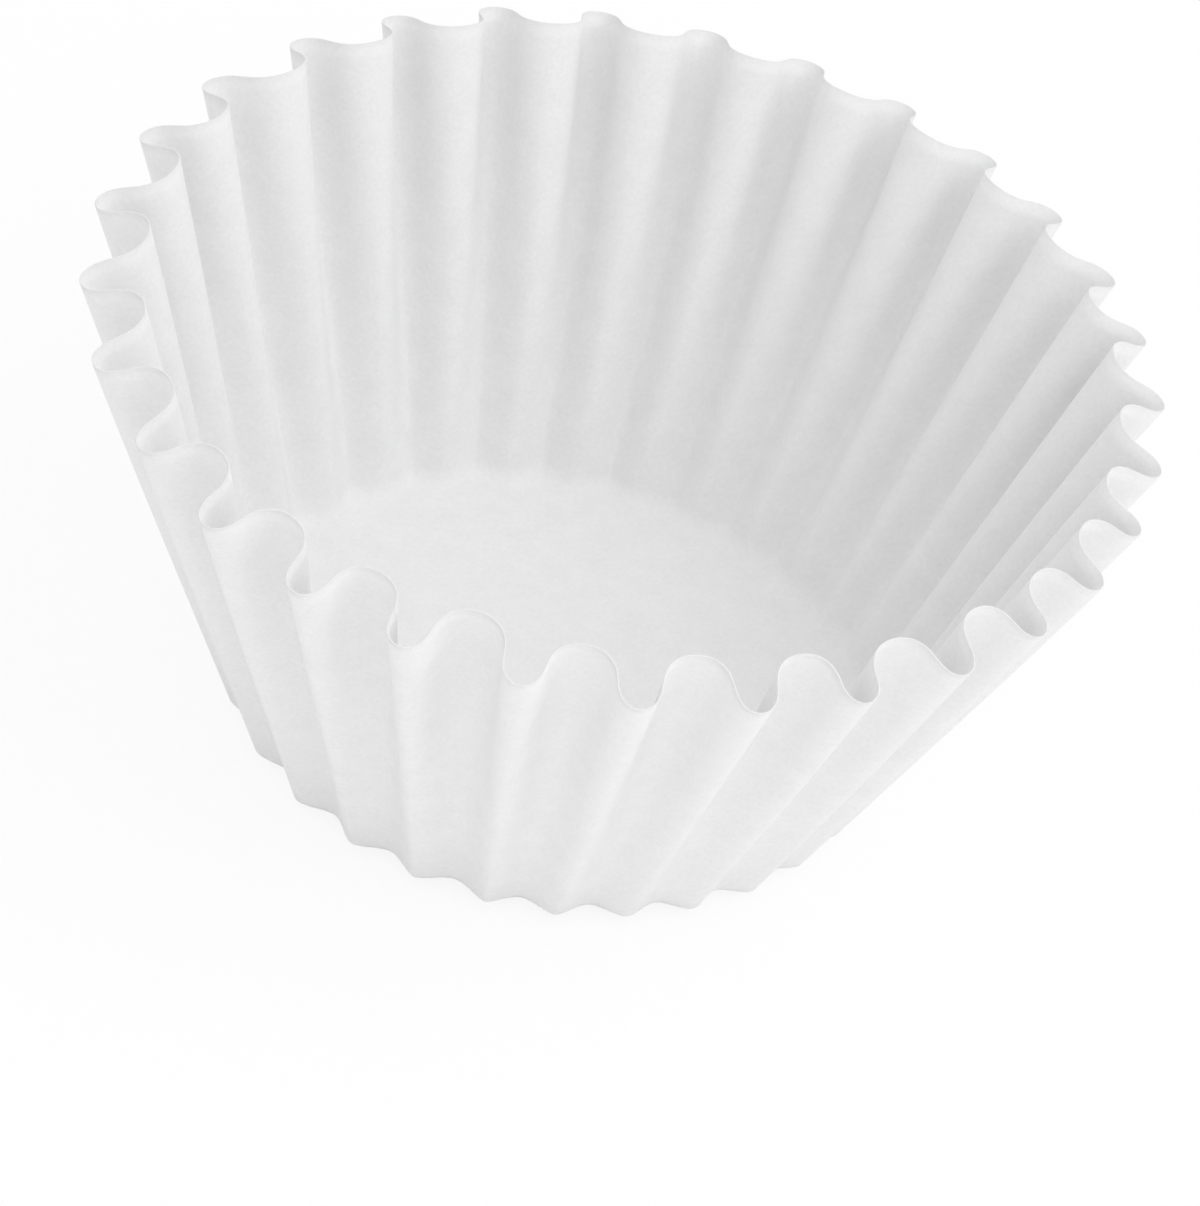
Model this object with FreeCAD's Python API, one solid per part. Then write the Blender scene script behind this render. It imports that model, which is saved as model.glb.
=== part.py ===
"""Paper coffee filter: a round sheet of filter paper pressed into a fluted cup with a flat base.

Writes parts/filter_paper.step. Lengths are in millimetres and angles in degrees. The underside
of the base lies on z = 0, the axis of the cup is the Z axis, and the open rim is at the top.

The paper doesn't stretch. A ring of the sheet keeps its length when the cup draws it in to a
smaller circle, so it waves in and out. The direction of the paper swings to and fro along each
wave, and the swing is what makes the ring's length fit its circle, so the flutes are deepest at
the rim. Low on the wall the folds are tight, with nearly flat paper between them, and at the rim
each fold is nearly an arc of a circle. The corner is crimped, so the edge of the flat base waves
a little too.
"""
import FreeCAD, Part
import math
import os

# The sheet before pressing
flat_diameter = 209.5
paper_thickness = 0.15

# The pressed cup
base_diameter = 82.5
corner_radius = 3.0
wall_lean = 20.5
flute_count = 30

# The flutes are a little wider than even on one side of the cup, and narrower on the other
width_drift = 0.09
widest_angle = 173.7

# The folds: how tight they are low down, how evenly they turn at the rim, how soon they round up
# the wall, and the crimped corner
tightness = 2.0
evenness = 0.85
rounding = 1.5
crimping = 0.1
crimp_fading = 5.0

# How finely the paper is divided into flat facets
facets_per_flute = 14
corner_rows = 2
wall_rows = 4
row_crowding = 1.6
crest_crowding = 0.45
steps_per_facet = 6

# The search for the swing that fits a ring into its circle
largest_swing = 135.0
halvings = 40

# Sizes that follow from the ones above
wall_rise = math.radians(90.0 - wall_lean)
flat_radius = base_diameter / 2.0 - corner_radius * math.tan(wall_rise / 2.0)
corner_length = corner_radius * wall_rise
sheet_length = flat_diameter / 2.0 - flat_radius
wall_length = sheet_length - corner_length
flute_angle = 2.0 * math.pi / flute_count
half_thickness = paper_thickness / 2.0
joining_distance = paper_thickness / 30.0


def row_distances():
    """Return how far each row of facet corners lies from the edge of the flat base.

    The rows on the wall stand closer together low down, where the flutes grow fastest.
    """
    corner = [corner_length * index / corner_rows for index in range(corner_rows)]
    wall = []
    for index in range(wall_rows + 1):
        wall.append(corner_length + wall_length * (index / wall_rows) ** row_crowding)
    return corner + wall


def share_of_wall(distance):
    """Return how far up the wall a distance along the paper lies, from 0 to 1."""
    return max(distance - corner_length, 0.0) / wall_length


def profile(distance):
    """Return the radius, height and rise of the cup's mean section.

    The distance is measured along the paper from the edge of the flat base: round the corner
    first, then straight up the wall. The rise is the angle of the paper above the horizontal.
    """
    rise = min(distance, corner_length) / corner_radius
    straight = max(distance - corner_length, 0.0)
    radius = flat_radius + corner_radius * math.sin(rise) + straight * math.cos(rise)
    height = half_thickness + corner_radius * (1.0 - math.cos(rise)) + straight * math.sin(rise)
    return radius, height, rise


def swing_share(turn, roundness):
    """Return the paper's direction at a place on the wave, as a share of its full swing.

    The turn runs from 0 to a full turn along one wave. A tight fold turns mostly at its crest,
    and a round one, with a roundness of 1, turns evenly.
    """
    cosine = math.cos(turn + math.sin(2.0 * turn) * crest_crowding / 2.0)
    tight = cosine * (1.0 + tightness) / (1.0 + abs(cosine) * tightness)
    arc = math.asin(cosine * evenness) / math.asin(evenness)
    return tight * (1.0 - roundness) + arc * roundness


def wave(swing, roundness):
    """Return the points of one wave, as pairs of along and across, on paper one unit long.

    The wave starts and ends on its middle line, where it is steepest, and its facets are
    shortest at the crests.
    """
    points = [(0.0, 0.0)]
    along = 0.0
    across = 0.0
    steps = facets_per_flute * steps_per_facet
    for index in range(steps):
        turn = 2.0 * math.pi * (index + 0.5) / steps
        length = (1.0 + math.cos(2.0 * turn) * crest_crowding) / steps
        direction = swing * swing_share(turn, roundness)
        along += math.cos(direction) * length
        across += math.sin(direction) * length
        if (index + 1) % steps_per_facet == 0:
            points.append((along, across))
    return points


def swing_for(span, roundness):
    """Return the swing, in radians, of the wave that spans this share of its paper's length."""
    low = 0.0
    high = math.radians(largest_swing)
    for halving in range(halvings):
        middle = (low + high) / 2.0
        if wave(middle, roundness)[-1][0] > span:
            low = middle
        else:
            high = middle
    return (low + high) / 2.0


def fitted_wave(distance):
    """Return the swing and the points of the wave that fits its ring, at one distance."""
    radius = profile(distance)[0]
    up_wall = share_of_wall(distance)
    span = radius / (flat_radius + distance) - crimping * (1.0 - up_wall) ** crimp_fading
    roundness = up_wall ** rounding
    swing = swing_for(span, roundness)
    return swing, wave(swing, roundness)


def flute_width(flute):
    """Return how wide a flute is, as a share of an even one."""
    middle = flute_angle * (flute + 0.5)
    return 1.0 + width_drift * math.cos(middle - math.radians(widest_angle))


def mean_ring(distance):
    """Return the points of the paper's middle all round the cup, at one distance from the base.

    The flutes stand square to the wall, and at the edge of the flat base they lie level.
    """
    radius, height, rise = profile(distance)
    points = fitted_wave(distance)[1]
    span = points[-1][0]
    wave_length = flute_angle * (flat_radius + distance)
    drop = math.cos(wall_rise) * rise / wall_rise
    ring = []
    start = 0.0
    for flute in range(flute_count):
        width = flute_width(flute)
        for along, across in points[:-1]:
            angle = flute_angle * (start + width * along / span)
            outward = across * wave_length * width
            reach = radius + outward * math.sin(wall_rise)
            level = height - outward * drop
            ring.append(FreeCAD.Vector(reach * math.cos(angle), reach * math.sin(angle), level))
        start += width
    return ring


def outward_normals(rings):
    """Return the unit normals of the paper's middle at each point, facing out of the cup."""
    normals = []
    for index, ring in enumerate(rings):
        if index == 0:
            # The paper is level at the edge of the flat base
            normals.append([FreeCAD.Vector(0, 0, -1)] * len(ring))
            continue
        lower = rings[index - 1]
        upper = rings[min(index + 1, len(rings) - 1)]
        line = []
        for place in range(len(ring)):
            around = ring[(place + 1) % len(ring)] - ring[place - 1]
            upward = upper[place] - lower[place]
            line.append(around.cross(upward).normalize())
        normals.append(line)
    return normals


class Facets:
    """The corners and triangles that close the paper's surface."""

    def __init__(self):
        self.corners = []
        self.triangles = []

    def add_ring(self, points):
        """Add the points as corners and return their numbers."""
        first = len(self.corners)
        self.corners += points
        return list(range(first, len(self.corners)))

    def add_disc(self, ring, facing_down):
        """Fill a level ring with triangles from its middle."""
        height = self.corners[ring[0]].z
        middle = self.add_ring([FreeCAD.Vector(0, 0, height)])[0]
        for place in range(len(ring)):
            before, after = ring[place - 1], ring[place]
            self.triangles.append((middle, after, before) if facing_down else (middle, before, after))

    def add_band(self, lower, upper):
        """Join two rings with triangles that face out when the upper ring is above."""
        for place in range(len(lower)):
            before, after = place - 1, place
            self.triangles.append((lower[before], lower[after], upper[after]))
            self.triangles.append((lower[before], upper[after], upper[before]))

    def solid(self):
        """Return the closed solid that the triangles bound.

        Level neighbours are merged, so each side of the flat base is one face.
        """
        shell = Part.Shape()
        shell.makeShapeFromMesh((self.corners, self.triangles), joining_distance)
        return Part.Solid(shell).removeSplitter()


def filter_paper():
    """Return the pressed sheet as one closed solid."""
    facets = Facets()
    rings = [mean_ring(distance) for distance in row_distances()]
    normals = outward_normals(rings)
    outside = []
    inside = []
    for ring, line in zip(rings, normals):
        outer = [point + normal * half_thickness for point, normal in zip(ring, line)]
        inner = [point - normal * half_thickness for point, normal in zip(ring, line)]
        outside.append(facets.add_ring(outer))
        inside.append(facets.add_ring(inner))
    facets.add_disc(outside[0], facing_down=True)
    facets.add_disc(inside[0], facing_down=False)
    for lower, upper in zip(outside, outside[1:]):
        facets.add_band(lower, upper)
    facets.add_band(outside[-1], inside[-1])
    for lower, upper in zip(inside, inside[1:]):
        facets.add_band(upper, lower)
    return facets.solid()


def main():
    """Write the part and print the sizes that follow from the driving ones."""
    os.makedirs("parts", exist_ok=True)
    paper = filter_paper()
    paper.exportStep("parts/filter_paper.step")
    rim_radius, rim_height = profile(sheet_length)[:2]
    rim_swing, rim_wave = fitted_wave(sheet_length)
    rim_depth = 2.0 * max(across for along, across in rim_wave) * flute_angle * flat_diameter / 2.0
    box = paper.BoundBox
    print("solids", len(paper.Solids), "closed", paper.Shells[0].isClosed(), "faces", len(paper.Faces))
    print("mean rim radius", round(rim_radius, 2), "height", round(rim_height, 2))
    print("swing at the rim", round(math.degrees(rim_swing), 1), "depth", round(rim_depth, 2))
    print("box", round(box.XLength, 2), round(box.YLength, 2), round(box.ZMin, 4), round(box.ZMax, 2))
    print("volume", round(paper.Volume, 1))


main()
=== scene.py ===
"""Looks of a paper coffee filter: a round sheet of white filter paper pressed into a fluted cup.

Lengths are in metres and angles in radians. The underside of the base lies on z = 0, the axis of
the cup is the Z axis, and the open rim is at the top.
"""

import logging
import math
from dataclasses import dataclass, field
from enum import Enum
from typing import ClassVar

import bpy
from mathutils import Matrix, Vector


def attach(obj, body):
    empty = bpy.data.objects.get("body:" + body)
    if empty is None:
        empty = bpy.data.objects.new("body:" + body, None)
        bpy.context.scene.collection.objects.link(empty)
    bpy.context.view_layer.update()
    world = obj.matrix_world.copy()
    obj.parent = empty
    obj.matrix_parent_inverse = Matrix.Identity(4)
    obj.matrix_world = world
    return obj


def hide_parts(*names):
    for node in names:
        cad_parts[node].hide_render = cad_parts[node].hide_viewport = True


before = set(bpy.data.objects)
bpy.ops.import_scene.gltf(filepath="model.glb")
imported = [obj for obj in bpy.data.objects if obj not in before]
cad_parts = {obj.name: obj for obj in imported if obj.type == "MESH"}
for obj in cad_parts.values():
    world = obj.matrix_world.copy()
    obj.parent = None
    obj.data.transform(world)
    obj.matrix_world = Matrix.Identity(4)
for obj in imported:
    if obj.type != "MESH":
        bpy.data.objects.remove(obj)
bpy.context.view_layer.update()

LOG = logging.getLogger("scene")
NODE = "filter_paper"
BODY = "root"
MM = 0.001
FULL_TURN = 2.0 * math.pi


@dataclass(frozen=True)
class Value:
    """A number that a node tree works out, which takes part in plain arithmetic."""

    graph: "Graph"
    socket: bpy.types.NodeSocket

    def __add__(self, other: "Value | float") -> "Value":
        """Return the sum."""
        return self.graph.maths("ADD", self, other)

    __radd__ = __add__

    def __sub__(self, other: "Value | float") -> "Value":
        """Return the difference."""
        return self.graph.maths("SUBTRACT", self, other)

    def __rsub__(self, other: float) -> "Value":
        """Return the difference from a plain number."""
        return self.graph.maths("SUBTRACT", other, self)

    def __mul__(self, other: "Value | float") -> "Value":
        """Return the product."""
        return self.graph.maths("MULTIPLY", self, other)

    __rmul__ = __mul__

    def __truediv__(self, other: "Value | float") -> "Value":
        """Return the quotient, or nought where the divisor is nought."""
        return self.graph.maths("DIVIDE", self, other)

    def __pow__(self, other: "Value | float") -> "Value":
        """Return this number raised to a power."""
        return self.graph.maths("POWER", self, other)

    def __mod__(self, other: "Value | float") -> "Value":
        """Return what is left over from a division."""
        return self.graph.maths("MODULO", self, other)

    def floor(self) -> "Value":
        """Return the whole number below."""
        return self.graph.maths("FLOOR", self)

    def sine(self) -> "Value":
        """Return the sine."""
        return self.graph.maths("SINE", self)

    def cosine(self) -> "Value":
        """Return the cosine."""
        return self.graph.maths("COSINE", self)

    def arc_sine(self) -> "Value":
        """Return the angle that has this sine."""
        return self.graph.maths("ARCSINE", self)

    def size(self) -> "Value":
        """Return the number without its sign."""
        return self.graph.maths("ABSOLUTE", self)

    def sign(self) -> "Value":
        """Return 1 for a number above nought, and -1 for one below it."""
        return self.graph.maths("SIGN", self)

    def root(self) -> "Value":
        """Return the square root."""
        return self.graph.maths("SQRT", self)

    def least(self, other: "Value | float") -> "Value":
        """Return the smaller of two numbers."""
        return self.graph.maths("MINIMUM", self, other)

    def greatest(self, other: "Value | float") -> "Value":
        """Return the larger of two numbers."""
        return self.graph.maths("MAXIMUM", self, other)

    def between(self) -> "Value":
        """Return this number kept between 0 and 1."""
        return self.greatest(0.0).least(1.0)


@dataclass(frozen=True)
class Graph:
    """Adds nodes to one node tree."""

    tree: bpy.types.NodeTree

    def node(
        self, kind: str, settings: dict | None = None, sockets: dict | None = None
    ) -> bpy.types.Node:
        """Add a node.

        Args:
            kind: The node's type.
            settings: The node's own properties by name, which are set first.
            sockets: Values or links of its inputs, by name or number.

        Returns:
            The new node.
        """
        made = self.tree.nodes.new(kind)
        for name, setting in (settings or {}).items():
            setattr(made, name, setting)
        for key, given in (sockets or {}).items():
            source = given.socket if isinstance(given, Value) else given
            if isinstance(source, bpy.types.NodeSocket):
                self.tree.links.new(source, made.inputs[key])
            else:
                made.inputs[key].default_value = source
        return made

    def maths(self, operation: str, *operands: "Value | float") -> Value:
        """Add a Math node.

        Args:
            operation: The Math node's operation.
            operands: Its inputs, in order.

        Returns:
            The value that it works out.
        """
        made = self.node("ShaderNodeMath", {"operation": operation}, dict(enumerate(operands)))
        return Value(self, made.outputs[0])

    def vector(self, x: Value | float, y: Value | float, z: Value | float) -> bpy.types.NodeSocket:
        """Return the socket of a vector with these coordinates."""
        return self.node("ShaderNodeCombineXYZ", None, {"X": x, "Y": y, "Z": z}).outputs[0]


@dataclass(frozen=True)
class Section:
    """Where a ring of paper lies on the cup's mean section.

    The first three values are shares from 0 to 1: how far over the flat base, round the corner and
    up the wall it lies. Its paper radius is its distance from the middle of the flat sheet.
    """

    on_base: Value
    round_corner: Value
    up_wall: Value
    paper_radius: Value
    radius: Value
    height: Value


@dataclass(frozen=True)
class Wave:
    """How a ring of paper waves.

    The turn is a step's place in its flute, as an angle. The steps are lengths of paper, added up
    before each point and over the whole ring. The swings are the directions of the steps as shares
    of the full swing, and the depth makes a fold swing more or less than the others.
    """

    row: Value
    turn: Value
    step: Value
    before: Value
    whole: Value
    depth: Value
    swings: Value

    def direction(self, swing: Value) -> Value:
        """Return the paper's direction at each step, for the ring's full swing."""
        return swing * self.depth * self.swings


@dataclass
class FoldTree:
    """The Geometry Nodes tree that folds a flat round sheet into a fluted cup.

    The sheet is a grid of columns, which run out from its middle, and rows, which are rings of
    paper. A ring keeps its length when the cup draws it in to a smaller circle, so it waves in and
    out. Low on the wall the folds are tight, with nearly flat paper between them, and at the rim
    each fold is rounder. The inward crests are broad, and the channels between them are narrow.
    The corner round the base is crimped, so its edge waves.
    """

    name: str
    sizes: dict[str, float | int]
    crowding: float = 0.45
    corrections: int = 4
    tightness: float = 2.0
    evenness: float = 0.85
    crimp_fading: float = 5.0
    base_fading: float = 12.0
    tree: bpy.types.NodeTree = field(init=False)
    graph: Graph = field(init=False)
    inputs: bpy.types.Node = field(init=False)

    def __post_init__(self) -> None:
        """Start the tree with one named input for each size."""
        self.tree = bpy.data.node_groups.new(self.name, "GeometryNodeTree")
        self.graph = Graph(self.tree)
        for label, size in self.sizes.items():
            kind = "NodeSocketInt" if isinstance(size, int) else "NodeSocketFloat"
            self.tree.interface.new_socket(label, in_out="INPUT", socket_type=kind)
        self.tree.interface.new_socket("Paper", in_out="OUTPUT", socket_type="NodeSocketGeometry")
        self.inputs = self.graph.node("NodeGroupInput")

    def size(self, label: str) -> Value:
        """Return the value of a named input."""
        return Value(self.graph, self.inputs.outputs[label])

    def summed(self, value: Value, row: Value) -> tuple[Value, Value]:
        """Add a value up along each ring.

        Args:
            value: What each step of the ring adds.
            row: The ring's number.

        Returns:
            The sum before each point, and the sum of the whole ring.
        """
        sockets = {0: value, 1: row}
        made = self.graph.node("GeometryNodeAccumulateField", {"data_type": "FLOAT"}, sockets)
        return Value(self.graph, made.outputs["Trailing"]), Value(self.graph, made.outputs["Total"])

    def random(self, number: Value, offset: int) -> Value:
        """Return a random value from -1 to 1 for each number, the same in every run.

        Args:
            number: What the value belongs to, such as the number of a fold.
            offset: What tells one set of values from another.

        Returns:
            The random value.
        """
        seed = self.size("Seed") + offset
        sockets = {2: -1.0, 3: 1.0, "ID": number, "Seed": seed}
        made = self.graph.node("FunctionNodeRandomValue", {"data_type": "FLOAT"}, sockets)
        return Value(self.graph, made.outputs[1])

    def section(self, row: Value) -> Section:
        """Work out where each ring of paper lies on the cup.

        Args:
            row: The ring's number, from the middle of the base to the rim.

        Returns:
            The ring's place on the mean section.
        """
        base_rows, corner_rows = self.size("Rows on the base"), self.size("Rows round the corner")
        on_base = (row / base_rows).between()
        round_corner = ((row - base_rows) / corner_rows).between()
        up_wall = ((row - base_rows - corner_rows) / self.size("Rows up the wall")).between()

        flat_radius, corner_radius = self.size("Flat radius"), self.size("Corner radius")
        wall_rise = self.size("Wall rise")
        corner_length = corner_radius * wall_rise
        wall_length = self.size("Sheet radius") - flat_radius - corner_length
        rise = wall_rise * round_corner

        paper_radius = flat_radius * on_base + corner_length * round_corner + wall_length * up_wall
        radius = flat_radius * on_base + corner_radius * rise.sine()
        radius = radius + wall_length * up_wall * wall_rise.cosine()
        height = corner_radius * (1.0 - rise.cosine()) + wall_length * up_wall * wall_rise.sine()
        height = height + self.size("Paper thickness") / 2.0
        return Section(on_base, round_corner, up_wall, paper_radius, radius, height)

    def wave(self, column: Value, row: Value, up_wall: Value) -> Wave:
        """Work out how each ring of paper waves.

        A fold is half a flute, and its crest gets the shorter steps.

        Args:
            column: The number of the step along the ring.
            row: The ring's number.
            up_wall: How far up the wall the ring lies, from 0 to 1.

        Returns:
            The ring's steps and swings.
        """
        place = (column + 0.5) / self.size("Facets in a flute")
        turn = place * FULL_TURN
        fold = (place * 2.0).floor()
        flute_angle = (place.floor() + 0.5) / self.size("Flutes") * FULL_TURN

        from_widest = flute_angle - self.size("Widest flutes' angle")
        width = 1.0 + self.size("Drift of width") * from_widest.cosine()
        width = width * (1.0 + self.size("Uneven width") * self.random(fold, 0))
        step = width * (1.0 + (turn * 2.0).cosine() * self.crowding)
        low_depth, high_depth = self.random(fold, 1), self.random(fold, 2)
        unevenness = low_depth * (1.0 - up_wall) + high_depth * up_wall
        depth = 1.0 + self.size("Uneven depth") * unevenness

        # A tight fold turns mostly at its crest, and a round one turns more evenly
        phase = turn + (turn * 2.0).sine() * (self.crowding / 2.0)
        phase = phase - turn.cosine() * self.size("Breadth of inward crests")
        swings = phase.cosine()
        tight = swings * (1.0 + self.tightness) / (1.0 + swings.size() * self.tightness)
        arc = (swings * self.evenness).arc_sine() / math.asin(self.evenness)
        roundness = up_wall ** self.size("Rounding")
        swings = tight * (1.0 - roundness) + arc * roundness
        before, whole = self.summed(step, row)
        return Wave(row, turn, step, before, whole, depth, swings)

    def fitted_direction(self, section: Section, wave: Wave) -> Value:
        """Find the swing that fits each ring's length into its circle.

        The corner is crimped, so a little more paper than the circle asks for is taken up there.

        Args:
            section: Where the ring lies.
            wave: How the ring waves.

        Returns:
            The paper's direction at each step.
        """
        missing = section.paper_radius - section.radius
        missing = missing / section.paper_radius.greatest(self.size("Corner radius"))
        crimped = section.on_base**self.base_fading * (1.0 - section.up_wall) ** self.crimp_fading
        missing = missing + self.size("Crimping") * crimped

        swing = missing.root() * 2.0
        for correction in range(self.corrections):
            span = self.summed(wave.direction(swing).cosine() * wave.step, wave.row)[1]
            swing = swing * (missing / (1.0 - span / wave.whole)).root()
        return wave.direction(swing)

    def place_on_cup(self, section: Section, wave: Wave, direction: Value) -> bpy.types.NodeSocket:
        """Add up each ring's steps to find its points.

        Args:
            section: Where the ring lies.
            wave: How the ring waves.
            direction: The paper's direction at each step.

        Returns:
            The socket of each point's place.
        """
        along, span = self.summed(direction.cosine() * wave.step, wave.row)
        across = self.summed(direction.sine() * wave.step, wave.row)[0]

        # The broad crests reach in less far than the narrow ones reach out, so the ring is shifted
        # by half the difference. Each flute adds the difference up twice, out and back
        travel = direction.sine().size() * wave.turn.sine().sign()
        difference = self.summed(travel * wave.step, wave.row)[1] / (self.size("Flutes") * 2.0)
        across = across - difference / 2.0

        wall_rise = self.size("Wall rise")
        angle = along / span * FULL_TURN
        outward = across * section.paper_radius * FULL_TURN / wave.whole
        reach = section.radius + outward * wall_rise.sine()
        level = section.height - outward * wall_rise.cosine() * section.round_corner
        return self.graph.vector(reach * angle.cosine(), reach * angle.sine(), level)

    def place_on_sheet(self, section: Section, wave: Wave) -> bpy.types.NodeSocket:
        """Find where each point lies on the flat sheet.

        Args:
            section: Where the ring lies.
            wave: How the ring waves.

        Returns:
            The socket of each point's place.
        """
        angle = wave.before / wave.whole * FULL_TURN
        across, up = section.paper_radius * angle.cosine(), section.paper_radius * angle.sine()
        return self.graph.vector(across, up, 0.0)

    def build(self, material: bpy.types.Material) -> None:
        """Add the nodes.

        Args:
            material: The paper's finish.
        """
        graph = self.graph
        columns = self.size("Flutes") * self.size("Facets in a flute")
        rows = self.size("Rows on the base") + self.size("Rows round the corner")
        rows = rows + self.size("Rows up the wall")
        index = Value(graph, graph.node("GeometryNodeInputIndex").outputs[0])
        row = (index / columns).floor()
        section = self.section(row)
        wave = self.wave(index % columns, row, section.up_wall)
        place = self.place_on_cup(section, wave, self.fitted_direction(section, wave))
        flat = self.place_on_sheet(section, wave)

        sockets = {"Vertices": columns, "Side Segments": rows}
        tube = graph.node("GeometryNodeMeshCylinder", {"fill_type": "NONE"}, sockets)
        sockets = {"Geometry": tube.outputs["Mesh"], "Name": PaperFinish.flat_place, "Value": flat}
        kept = graph.node("GeometryNodeStoreNamedAttribute", {"data_type": "FLOAT_VECTOR"}, sockets)
        sockets = {"Geometry": kept.outputs[0], "Position": place}
        folded = graph.node("GeometryNodeSetPosition", None, sockets)
        sockets = {"Geometry": folded.outputs[0], "Distance": self.size("Joining distance")}
        closed = graph.node("GeometryNodeMergeByDistance", None, sockets)
        smooth = graph.node("GeometryNodeSetShadeSmooth", None, {"Geometry": closed.outputs[0]})
        plain = graph.node("GeometryNodeRealizeInstances", None, {"Geometry": smooth.outputs[0]})
        sockets = {"Geometry": plain.outputs[0], "Material": material}
        dressed = graph.node("GeometryNodeSetMaterial", None, sockets)
        graph.node("NodeGroupOutput", None, {0: dressed.outputs[0]})

    def attach(self, holder: bpy.types.Object) -> None:
        """Give an object this tree as a modifier, with every input set.

        Args:
            holder: The object that the tree makes the mesh of.
        """
        modifier = holder.modifiers.new("Fold", "NODES")
        modifier.node_group = self.tree
        for item in self.tree.interface.items_tree:
            if item.in_out == "INPUT":
                modifier[item.identifier] = self.sizes[item.name]


@dataclass(frozen=True)
class PaperFinish:
    """White filter paper: matt, lightly clouded, with short fibres and a soft grain.

    The paper is palest where the clouds and the grain together are above the pale level, and
    darkest where they are below the dark level.
    """

    flat_place: ClassVar[str] = "flat_place"
    colour: tuple[float, float, float] = (0.9, 0.9, 0.9)
    cloud_colour: tuple[float, float, float] = (0.845, 0.845, 0.845)
    roughness: float = 0.92
    gloss: float = 0.25
    cloud_size: float = 4.0 * MM
    cloud_detail: float = 3.0
    grain_size: float = 0.6 * MM
    grain_detail: float = 4.0
    grain_share: float = 0.62
    detail_share: float = 0.6
    dark_level: float = 0.35
    pale_level: float = 0.65
    relief: float = 0.035 * MM

    def material(self) -> bpy.types.Material:
        """Make the paper's material.

        Returns:
            The material.
        """
        made = bpy.data.materials.new("filter_paper")
        made.use_nodes = True
        made.node_tree.nodes.clear()
        graph = Graph(made.node_tree)
        flat = graph.node("ShaderNodeAttribute", {"attribute_name": self.flat_place}).outputs["Vector"]
        clouds = self.noise(graph, flat, self.cloud_size, self.cloud_detail)
        grain = self.noise(graph, flat, self.grain_size, self.grain_detail)
        shade = clouds * (1.0 - self.grain_share) + grain * self.grain_share - self.dark_level
        shade = (shade / (self.pale_level - self.dark_level)).between()
        sockets = {0: shade, 6: (*self.cloud_colour, 1.0), 7: (*self.colour, 1.0)}
        tint = graph.node("ShaderNodeMix", {"data_type": "RGBA"}, sockets)
        sockets = {"Strength": 1.0, "Distance": self.relief, "Height": grain}
        bump = graph.node("ShaderNodeBump", None, sockets)
        sockets = {
            "Base Color": tint.outputs[2],
            "Roughness": self.roughness,
            "Specular IOR Level": self.gloss,
            "Normal": bump.outputs[0],
        }
        surface = graph.node("ShaderNodeBsdfPrincipled", None, sockets)
        graph.node("ShaderNodeOutputMaterial", None, {"Surface": surface.outputs[0]})
        return made

    def noise(self, graph: Graph, place: bpy.types.NodeSocket, size: float, detail: float) -> Value:
        """Add a noise, in which the detail share sets how strong each finer layer is.

        Args:
            graph: What adds the node.
            place: The coordinates that it follows.
            size: The size of its spots.
            detail: How many finer layers it has.

        Returns:
            The noise, from 0 to 1.
        """
        sockets = {
            "Vector": place,
            "Scale": 1.0 / size,
            "Detail": detail,
            "Roughness": self.detail_share,
        }
        return Value(graph, graph.node("ShaderNodeTexNoise", None, sockets).outputs["Fac"])


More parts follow.
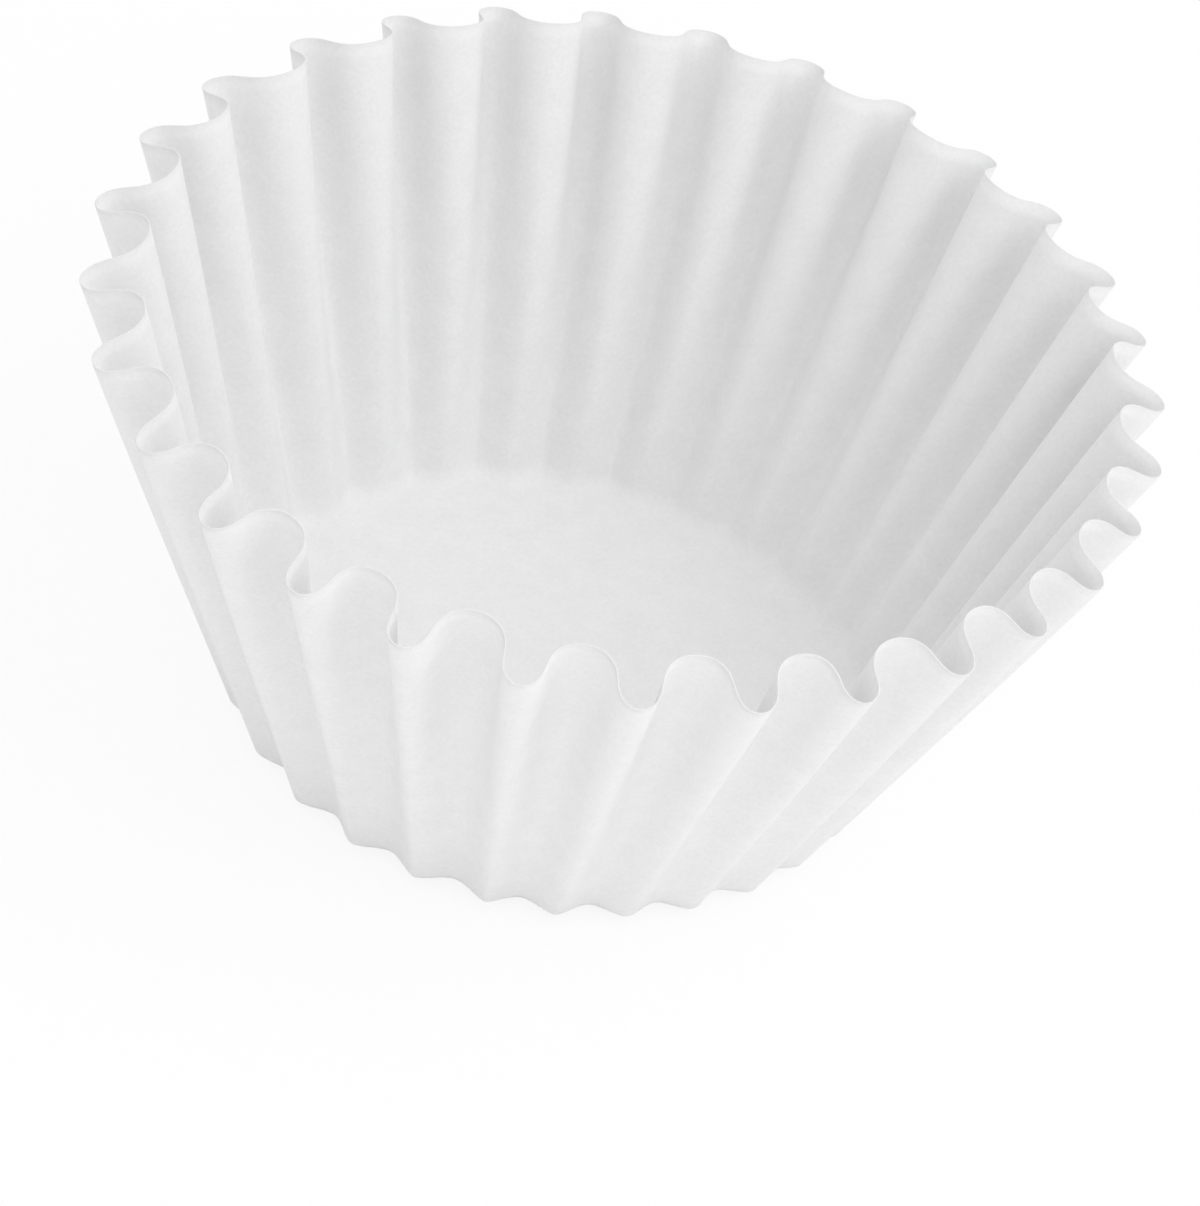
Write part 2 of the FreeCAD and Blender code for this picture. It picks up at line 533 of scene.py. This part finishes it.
@dataclass(frozen=True)
class FilterPaper:
    """The filter: one round sheet of paper with a flat base, a tight corner and a fluted wall."""

    flat_diameter: float = 209.5 * MM
    base_diameter: float = 82.5 * MM
    corner_radius: float = 3.0 * MM
    wall_lean: float = math.radians(20.5)
    paper_thickness: float = 0.15 * MM
    flute_count: int = 30
    facets_per_flute: int = 32
    base_rows: int = 4
    corner_rows: int = 7
    wall_rows: int = 28
    rounding: float = 1.5
    crimping: float = 0.1
    inward_breadth: float = 0.3
    width_drift: float = 0.09
    widest_angle: float = math.radians(173.7)
    uneven_width: float = 0.06
    uneven_depth: float = 0.06
    seed: int = 7
    joining_distance: float = 0.01 * MM
    finish: PaperFinish = field(default_factory=PaperFinish)

    def sizes(self) -> dict[str, float | int]:
        """Name the fold tree's inputs.

        Returns:
            Each input's value by its name.
        """
        wall_rise = math.radians(90.0) - self.wall_lean
        return {
            "Flat radius": self.base_diameter / 2.0 - self.corner_radius * math.tan(wall_rise / 2.0),
            "Corner radius": self.corner_radius,
            "Wall rise": wall_rise,
            "Sheet radius": self.flat_diameter / 2.0,
            "Paper thickness": self.paper_thickness,
            "Flutes": self.flute_count,
            "Facets in a flute": self.facets_per_flute,
            "Rows on the base": self.base_rows,
            "Rows round the corner": self.corner_rows,
            "Rows up the wall": self.wall_rows,
            "Rounding": self.rounding,
            "Crimping": self.crimping,
            "Breadth of inward crests": self.inward_breadth,
            "Drift of width": self.width_drift,
            "Widest flutes' angle": self.widest_angle,
            "Uneven width": self.uneven_width,
            "Uneven depth": self.uneven_depth,
            "Joining distance": self.joining_distance,
            "Seed": self.seed,
        }

    def build(self) -> bpy.types.Object:
        """Make the cup as one plain closed mesh.

        Returns:
            The piece.
        """
        tree = FoldTree("fold_the_sheet", self.sizes())
        tree.build(self.finish.material())
        holder = bpy.data.objects.new("sheet_to_fold", bpy.data.meshes.new("sheet_to_fold"))
        bpy.context.scene.collection.objects.link(holder)
        tree.attach(holder)
        wall = holder.modifiers.new("Thickness", "SOLIDIFY")
        wall.thickness = self.paper_thickness
        wall.offset = 0.0
        wall.use_quality_normals = True
        bpy.context.view_layer.update()
        evaluated = holder.evaluated_get(bpy.context.evaluated_depsgraph_get())
        mesh = bpy.data.meshes.new_from_object(evaluated)
        mesh.name = "pressed_paper"
        bpy.data.objects.remove(holder)
        piece = bpy.data.objects.new("pressed_paper", mesh)
        bpy.context.scene.collection.objects.link(piece)
        return piece

    def declare(self, piece: bpy.types.Object) -> None:
        """Put the piece on its body, and hide the part from model.glb that it replaces.

        Args:
            piece: The finished piece.
        """
        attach(piece, BODY)
        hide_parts(NODE)


class Softbox(Enum):
    """The lamps, each with its name."""

    HIGH_RIGHT = "high_right"
    LOW_FRONT = "low_front"


@dataclass(frozen=True)
class Studio:
    """A pale floor, a white surround and soft lamps."""

    floor_width: float = 6.0
    floor_gap: float = 0.2 * MM
    floor_colour: tuple[float, float, float] = (0.95, 0.95, 0.95)
    white: tuple[float, float, float] = (1.0, 1.0, 1.0)
    backdrop_share: float = 0.85
    backdrop_strength: float = 1.0
    surround_strength: float = 0.87
    lamp_width: float = 1.0
    lamp_places: tuple[tuple[Softbox, tuple[float, float, float], float], ...] = (
        (Softbox.HIGH_RIGHT, (0.75, -0.3, 1.15), 4.4),
        (Softbox.LOW_FRONT, (0.35, -1.35, 0.5), 1.1),
    )

    def build(self) -> None:
        """Make the floor, the surround and the lamps."""
        self.floor()
        self.surround()
        for name, place, power in self.lamp_places:
            self.lamp(name, Vector(place), power)

    def floor(self) -> None:
        """Make the floor, which shows white and keeps the shadow."""
        half = self.floor_width / 2.0
        corners = [(-half, -half), (half, -half), (half, half), (-half, half)]
        mesh = bpy.data.meshes.new("floor")
        mesh.from_pydata([(x, y, -self.floor_gap) for x, y in corners], [], [(0, 1, 2, 3)])
        made = bpy.data.objects.new("floor", mesh)
        bpy.context.scene.collection.objects.link(made)
        material = bpy.data.materials.new("floor")
        material.use_nodes = True
        material.node_tree.nodes.clear()
        graph = Graph(material.node_tree)
        matt = graph.node("ShaderNodeBsdfDiffuse", None, {"Color": (*self.floor_colour, 1.0)})
        sockets = {"Color": (*self.white, 1.0), "Strength": self.backdrop_strength}
        glow = graph.node("ShaderNodeEmission", None, sockets)
        share = self.seen(graph) * self.backdrop_share
        sockets = {0: share, 1: matt.outputs[0], 2: glow.outputs[0]}
        mixed = graph.node("ShaderNodeMixShader", None, sockets)
        graph.node("ShaderNodeOutputMaterial", None, {"Surface": mixed.outputs[0]})
        mesh.materials.append(material)

    def surround(self) -> None:
        """Light the scene evenly from all sides, and show white wherever the surround is seen."""
        world = bpy.data.worlds.new("surround")
        world.use_nodes = True
        world.node_tree.nodes.clear()
        graph = Graph(world.node_tree)
        added = self.backdrop_strength - self.surround_strength
        strength = self.seen(graph) * added + self.surround_strength
        sockets = {"Color": (*self.white, 1.0), "Strength": strength}
        light = graph.node("ShaderNodeBackground", None, sockets)
        graph.node("ShaderNodeOutputWorld", None, {"Surface": light.outputs[0]})
        bpy.context.scene.world = world

    def seen(self, graph: Graph) -> Value:
        """Tell what the camera sees straight, in a gloss or through glass from other light.

        Args:
            graph: What adds the nodes.

        Returns:
            1 for what the camera sees, and 0 for other light.
        """
        path = graph.node("ShaderNodeLightPath")
        kinds = ("Is Camera Ray", "Is Glossy Ray", "Is Transmission Ray")
        camera, glossy, through = (Value(graph, path.outputs[kind]) for kind in kinds)
        return camera.greatest(glossy).greatest(through)

    def lamp(self, name: Softbox, place: Vector, power: float) -> None:
        """Hang a square softbox that faces the object.

        Args:
            name: Which lamp it is.
            place: Where its middle hangs.
            power: Its power in watts.
        """
        data = bpy.data.lights.new(name.value, "AREA")
        data.size = self.lamp_width
        data.energy = power
        made = bpy.data.objects.new(name.value, data)
        made.location = place
        made.rotation_euler = (-place).to_track_quat("-Z", "Y").to_euler()
        bpy.context.scene.collection.objects.link(made)


@dataclass(frozen=True)
class PhotographCamera:
    """The camera that took the photograph: a long lens, looking down into the cup."""

    image_width: float = 1200.0
    image_height: float = 1206.0
    focal_pixels: float = 5445.0
    sensor_width: float = 36.0
    distance: float = 664.0 * MM
    rim_height: float = 60.0 * MM
    rim_pixel: tuple[float, float] = (633.0, 328.0)
    elevation: float = math.radians(37.8)
    azimuth: float = math.radians(-6.3)
    roll: float = math.radians(12.8)

    def build(self) -> None:
        """Make the camera and give it to the scene."""
        data = bpy.data.cameras.new("photograph")
        data.sensor_width = self.sensor_width
        longer_side = max(self.image_width, self.image_height)
        data.lens = self.focal_pixels * self.sensor_width / longer_side
        made = bpy.data.objects.new("photograph", data)
        bpy.context.scene.collection.objects.link(made)
        made.matrix_world = self.place()
        bpy.context.scene.camera = made

    def place(self) -> Matrix:
        """Work out where the camera stands and how it is turned.

        Returns:
            The camera's place in the scene.
        """
        sideways = Vector((math.cos(self.azimuth), math.sin(self.azimuth), 0.0))
        inwards = Vector((-math.sin(self.azimuth), math.cos(self.azimuth), 0.0))
        upwards = Vector((0.0, 0.0, 1.0))
        ahead = inwards * math.cos(self.elevation) - upwards * math.sin(self.elevation)
        above = inwards * math.sin(self.elevation) + upwards * math.cos(self.elevation)
        right = sideways * math.cos(self.roll) + above * math.sin(self.roll)
        top = above * math.cos(self.roll) - sideways * math.sin(self.roll)
        stand = upwards * self.rim_height - ahead * self.distance

        # Aim past the rim's middle, so that it lands on its pixel
        across = (self.rim_pixel[0] - self.image_width / 2.0) / self.focal_pixels
        down = (self.rim_pixel[1] - self.image_height / 2.0) / self.focal_pixels
        aim = (ahead - right * across + top * down).normalized()
        right = aim.cross(top).normalized()
        top = right.cross(aim)
        turned = Matrix((right, top, -aim)).transposed().to_4x4()
        return Matrix.Translation(stand) @ turned


def main() -> None:
    """Build the filter, the studio and the camera."""
    logging.basicConfig(level=logging.INFO, format="%(message)s")
    bpy.context.scene.view_settings.view_transform = "Standard"
    paper = FilterPaper()
    piece = paper.build()
    paper.declare(piece)
    LOG.info("%s: %d faces", piece.name, len(piece.data.polygons))
    Studio().build()
    PhotographCamera().build()


if __name__ == "__main__":
    main()
